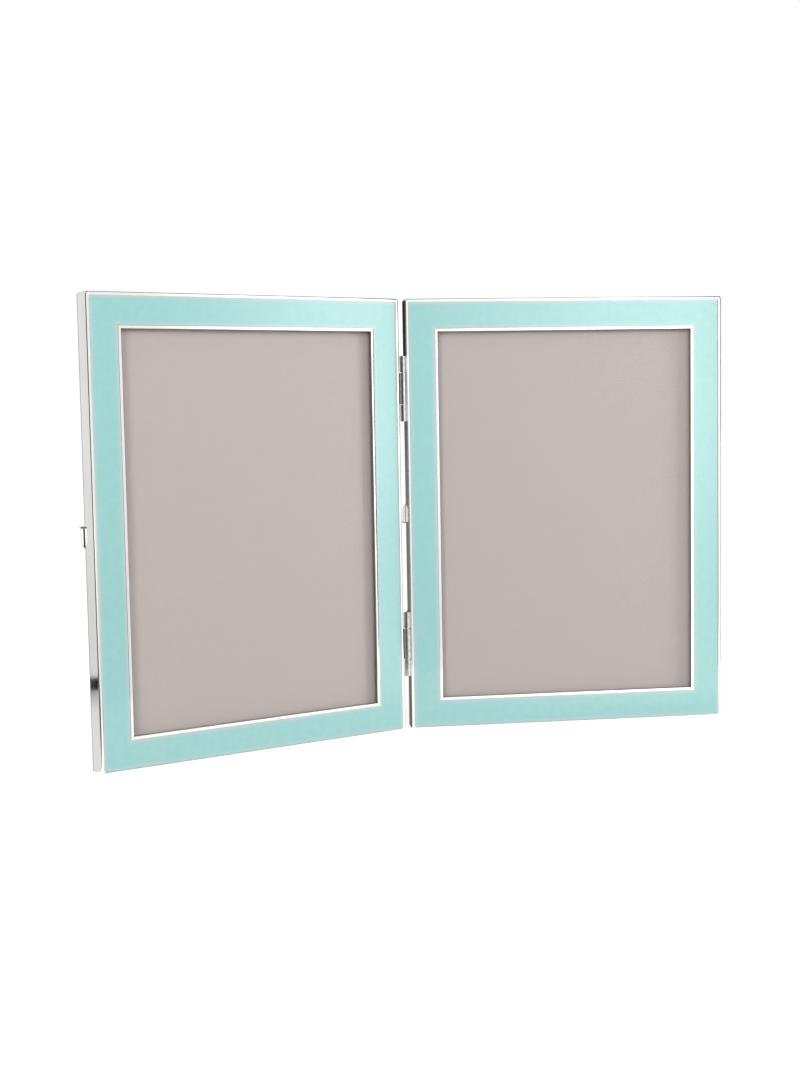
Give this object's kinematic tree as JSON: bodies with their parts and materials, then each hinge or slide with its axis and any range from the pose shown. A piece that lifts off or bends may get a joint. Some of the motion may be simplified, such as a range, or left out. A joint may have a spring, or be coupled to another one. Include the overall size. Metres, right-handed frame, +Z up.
{
  "type": "double photo frame",
  "caption": "Hinged pair of enamelled metal photo frames that stand as a V or fold shut, with glass fronts and velvet backs held by turn clips.",
  "frame": {"origin": "bottom centre of the bounding box, on the surface that the frames stand on", "axes": "+Z up; the pictures face -Y; +X to the viewer's right, across both frames"},
  "size_m": [0.3092, 0.0462, 0.2034],
  "materials": {
    "silver_plate": "polished silver plate, slightly soft",
    "hinge_steel": "nickelled, fine brushed",
    "enamel": "gloss enamel, pale aqua green",
    "fibreboard": "raw fibreboard",
    "glass": "clear float glass",
    "insert_card": "matt mauve-grey card",
    "pad_board": "grey board",
    "velvet": "short charcoal velvet pile"
  },
  "bodies": {
    "frame_right": {"shell_right": "silver_plate", "enamel_right": "enamel", "core_right": "fibreboard", "glass_right": "glass", "card_right": "insert_card", "filler_right": "pad_board", "back_board_right": "fibreboard", "back_velvet_right": "velvet", "border_velvet_right": "velvet", "clip_screws_right": "hinge_steel", "upper_leaf_right": "hinge_steel", "lower_leaf_right": "hinge_steel", "leaf_rivets_right": "silver_plate", "upper_hinge_pin": "silver_plate", "lower_hinge_pin": "silver_plate"},
    "frame_left": {"shell_left": "silver_plate", "enamel_left": "enamel", "core_left": "fibreboard", "glass_left": "glass", "card_left": "insert_card", "filler_left": "pad_board", "back_board_left": "fibreboard", "back_velvet_left": "velvet", "border_velvet_left": "velvet", "clip_screws_left": "hinge_steel", "upper_leaf_left": "hinge_steel", "lower_leaf_left": "hinge_steel", "leaf_rivets_left": "silver_plate"},
    "inner_clip_right": {"inner_clip_right": "silver_plate"},
    "outer_clip_right": {"outer_clip_right": "silver_plate"},
    "inner_clip_left": {"inner_clip_left": "silver_plate"},
    "outer_clip_left": {"outer_clip_left": "silver_plate"}
  },
  "joints": [
    {"name": "frame_fold", "type": "hinge", "parent": "frame_right", "child": "frame_left", "pos_m": [0, 0.0096, 0.1017], "axis": [0, 0, 1], "range_deg": [-25, 155]},
    {"name": "inner_clip_right_turn", "type": "hinge", "parent": "frame_right", "child": "inner_clip_right", "pos_m": [0.01074, 0.019, 0.1017], "axis": [-0.2164, -0.9763, 0], "range_deg": [0, 90]},
    {"name": "outer_clip_right_turn", "type": "hinge", "parent": "frame_right", "child": "outer_clip_right", "pos_m": [0.14605, -0.011, 0.1017], "axis": [-0.2164, -0.9763, 0], "range_deg": [0, 90]},
    {"name": "inner_clip_left_turn", "type": "hinge", "parent": "frame_left", "child": "inner_clip_left", "pos_m": [-0.01074, 0.019, 0.1017], "axis": [-0.2164, 0.9763, 0], "range_deg": [0, 90]},
    {"name": "outer_clip_left_turn", "type": "hinge", "parent": "frame_left", "child": "outer_clip_left", "pos_m": [-0.14605, -0.011, 0.1017], "axis": [-0.2164, 0.9763, 0], "range_deg": [0, 90]}
  ]
}
